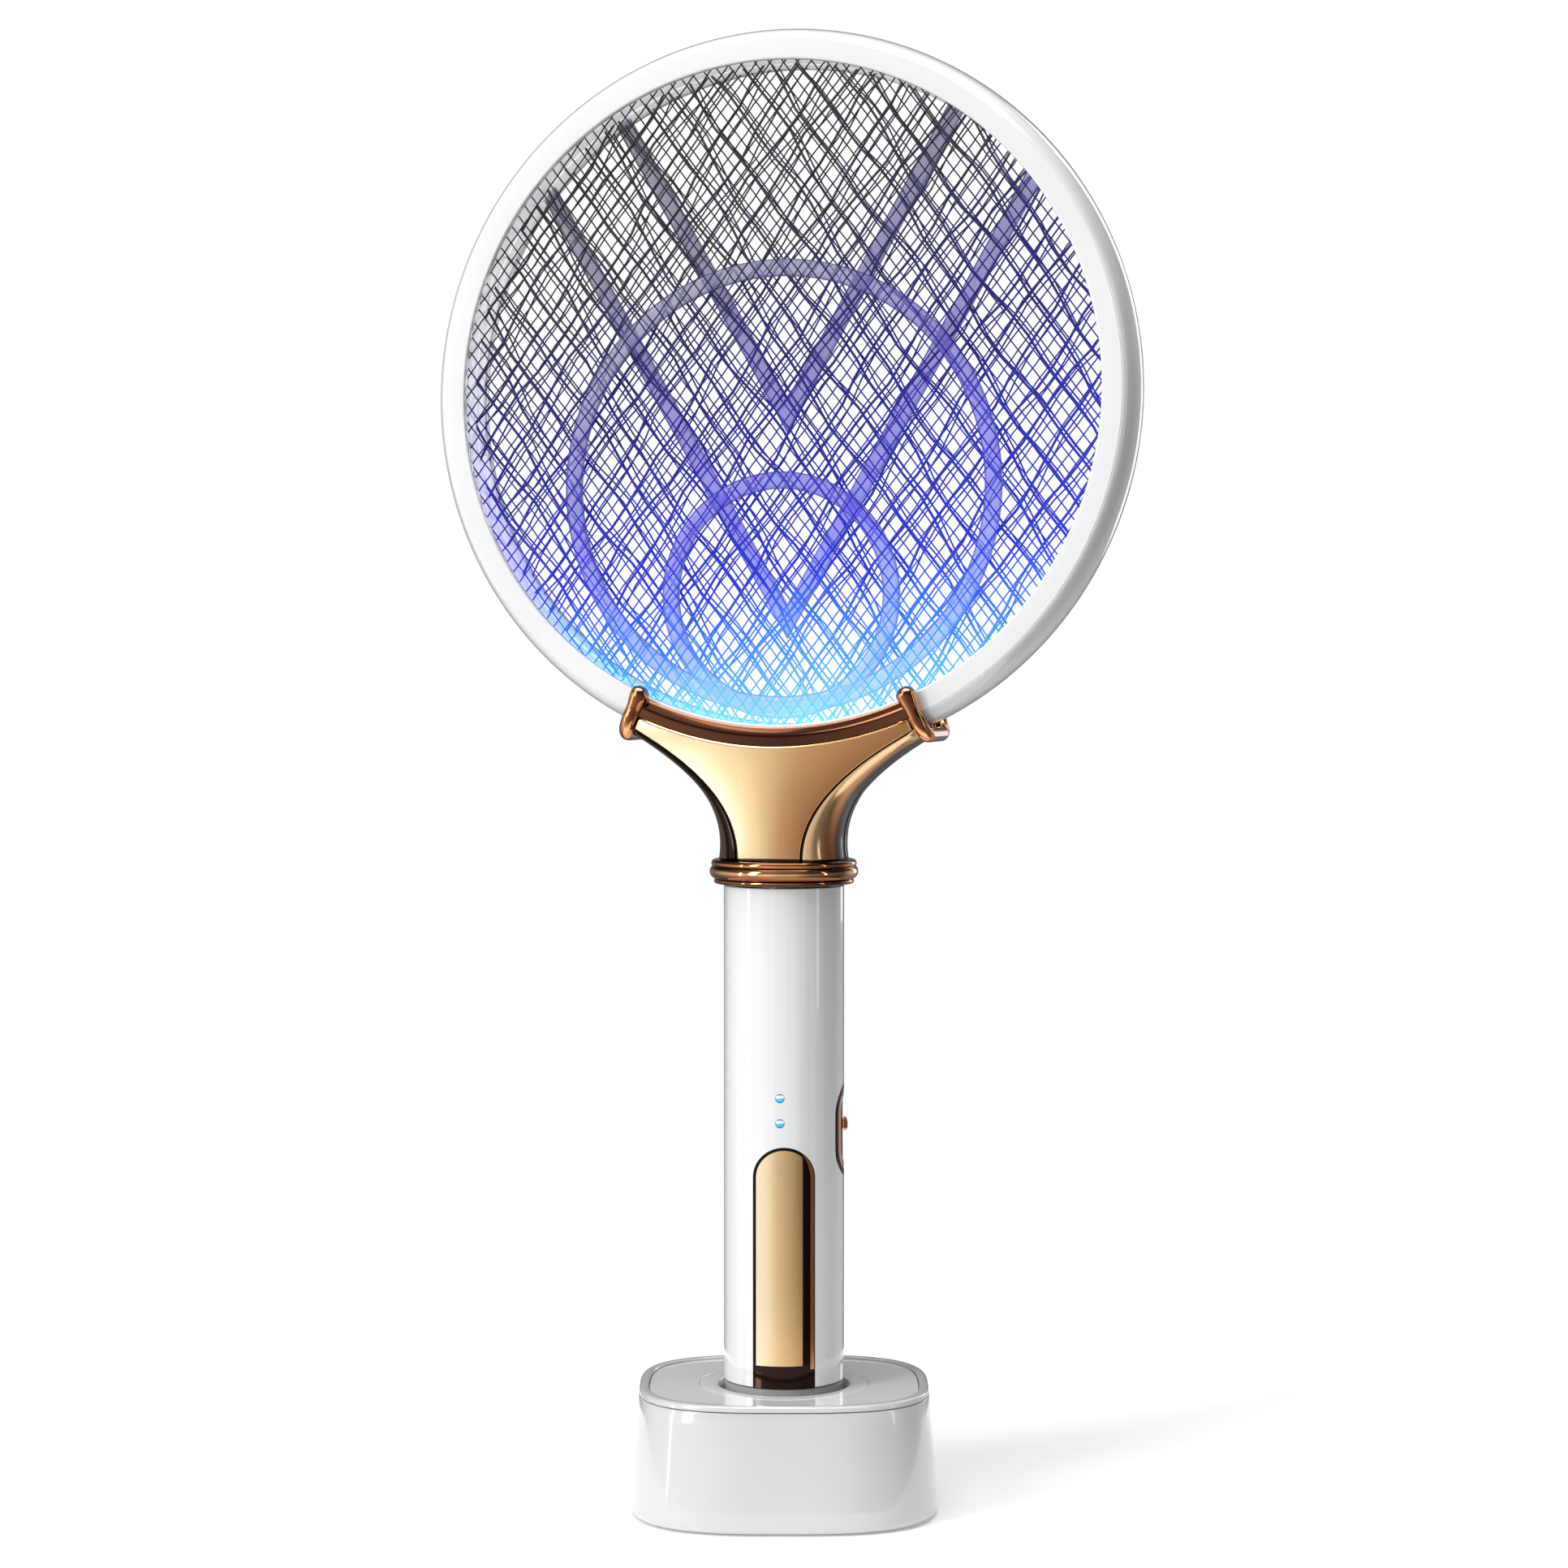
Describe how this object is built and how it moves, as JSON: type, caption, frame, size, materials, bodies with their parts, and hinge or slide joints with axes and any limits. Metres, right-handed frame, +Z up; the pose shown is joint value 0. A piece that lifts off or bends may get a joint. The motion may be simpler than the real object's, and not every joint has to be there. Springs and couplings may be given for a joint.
{
  "type": "electric fly swatter",
  "caption": "Racket-shaped electric fly swatter with a round three-layer mesh head on a swivel neck, tubular handle with trigger and mode switch, standing in a charging dock.",
  "frame": {"origin": "centre of the charging dock's underside, on the surface it stands on", "axes": "+Z up along the handle's axis, the dock's front and the trigger face -Y, +X to the right"},
  "size_m": [0.2146, 0.086, 0.4518],
  "materials": {
    "gloss_white": "high gloss moulded ABS",
    "panel_grey": "mirror-gloss light grey",
    "cup_grey": "satin grey",
    "cap_grey": "satin grey",
    "rose_gold": "rose-gold electroplated ABS, mirror polished",
    "copper": "copper plated ABS, polished",
    "dark_bronze": "dark bronze plated ABS, polished",
    "gloss_black": "piano black",
    "rubber": "matt",
    "steel": "bright zinc plated",
    "gold_contact": "gold flashed",
    "board_green": "solder-masked glass-fibre board",
    "black_plastic": "fine matt",
    "natural_plastic": "natural acetal",
    "cell_wrap": "shrink sleeve",
    "winding_tape": "polyester winding tape",
    "indicator_blue": "clear blue light pipe",
    "grid_wire": "drawn wire with a blue-violet cast",
    "rib_violet": "translucent violet, edge lit",
    "lamp_white": "clear resin lamp"
  },
  "bodies": {
    "base": {"base_shell": "gloss_white", "base_rim": "gloss_white", "base_top_panel": "panel_grey", "socket_cup": "cup_grey", "base_bottom_plate": "cup_grey", "foot_1": "rubber", "foot_2": "rubber", "foot_3": "rubber", "foot_4": "rubber", "base_screw_1": "steel", "base_screw_2": "steel", "dock_board": "board_green", "pin_block": "black_plastic", "usb_inlet_shell": "steel", "usb_inlet_tongue": "black_plastic"},
    "pin_centre": {"charging_pin_centre": "gold_contact"},
    "pin_outer": {"charging_pin_outer": "gold_contact"},
    "handle": {"handle_tube": "gloss_white", "end_cap": "cap_grey", "contact_pad_centre": "gold_contact", "contact_ring": "gold_contact", "battery_cell": "cell_wrap", "battery_clip": "steel", "control_board": "board_green", "transformer": "winding_tape", "hv_capacitor": "cell_wrap", "trigger_switch": "black_plastic", "trigger_bezel": "dark_bronze", "indicator_light_1": "indicator_blue", "indicator_light_2": "indicator_blue", "switch_bezel": "gloss_black", "switch_frame": "copper", "mode_switch_body": "steel", "swivel_spigot": "steel", "retaining_clip": "steel"},
    "trigger": {"trigger_bar": "rose_gold"},
    "slider": {"switch_slider": "copper"},
    "head": {"throat_front": "rose_gold", "throat_rear": "rose_gold", "neck_collar": "rose_gold", "swivel_bush": "natural_plastic", "saddle_band_front": "dark_bronze", "saddle_band_rear": "dark_bronze", "ferrule_left": "rose_gold", "ferrule_right": "rose_gold", "ring_front": "gloss_white", "ring_rear": "gloss_white", "front_grid": "grid_wire", "centre_grid": "grid_wire", "rear_grid": "grid_wire", "front_rib_frame": "rib_violet", "rear_rib_frame": "rib_violet", "lamp_board": "board_green", "lamp_led_1": "lamp_white", "lamp_led_2": "lamp_white", "ring_screw_1": "steel", "ring_screw_2": "steel", "ring_screw_3": "steel", "ring_screw_4": "steel", "ring_screw_5": "steel"}
  },
  "joints": [
    {"name": "swatter_lift", "type": "slide", "parent": "base", "child": "handle", "axis": [0, 0, 1], "range_m": [0, 0.05]},
    {"name": "head_turn", "type": "hinge", "parent": "handle", "child": "head", "pos_m": [0, 0, 0.195], "axis": [0, 0, 1], "range_deg": [-73.6, 106.4]},
    {"name": "trigger_press", "type": "slide", "parent": "handle", "child": "trigger", "axis": [0, 1, 0], "range_m": [0, 0.0015], "stiffness_N_per_m": 1200},
    {"name": "switch_slide", "type": "slide", "parent": "handle", "child": "slider", "axis": [0, 0, 1], "range_m": [-0.004, 0.004]},
    {"name": "pin_centre_press", "type": "slide", "parent": "base", "child": "pin_centre", "axis": [0, 0, -1], "range_m": [0, 0.0012], "stiffness_N_per_m": 250},
    {"name": "pin_outer_press", "type": "slide", "parent": "base", "child": "pin_outer", "axis": [0, 0, -1], "range_m": [0, 0.0012], "stiffness_N_per_m": 250}
  ]
}
